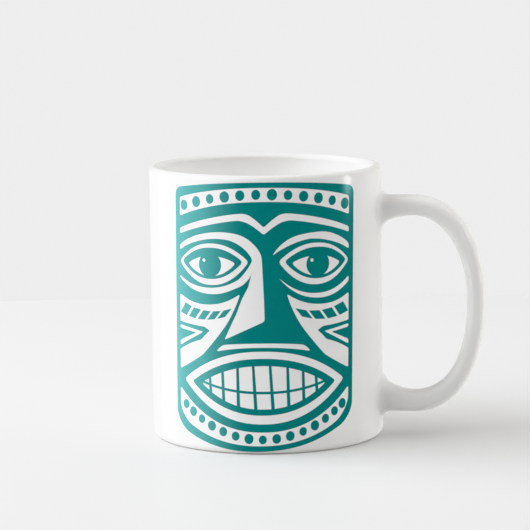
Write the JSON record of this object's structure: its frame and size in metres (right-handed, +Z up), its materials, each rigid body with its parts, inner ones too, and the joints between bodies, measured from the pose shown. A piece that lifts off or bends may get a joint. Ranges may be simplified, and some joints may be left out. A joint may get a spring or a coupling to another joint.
{
  "type": "mug",
  "caption": "Straight-sided ceramic drinking mug with a D-shaped side handle and a one-colour carved-mask panel printed on the front.",
  "frame": {"origin": "centre of the foot ring, in the plane that the mug stands on", "axes": "+Z up along the axis of the cup; +X towards the middle of the handle; the printed panel faces -Y, turned about 5 degrees towards the handle"},
  "size_m": [0.1186, 0.0821, 0.096],
  "materials": {
    "glazed_body": "gloss white glaze, bare on the foot ring",
    "glazed_handle": "gloss white glaze",
    "glazed_slip": "gloss white glaze over wiped slip",
    "print_ink": "gloss teal print under a clear coat"
  },
  "bodies": {
    "root": {"cup_body": "glazed_body", "handle": "glazed_handle", "upper_slip_joint": "glazed_slip", "lower_slip_joint": "glazed_slip", "mask_ground": "print_ink", "headband_dots": "print_ink", "left_eye": "print_ink", "right_eye": "print_ink", "left_cheek_bars": "print_ink", "right_cheek_bars": "print_ink", "mouth": "print_ink", "chin_dots": "print_ink"}
  },
  "joints": []
}
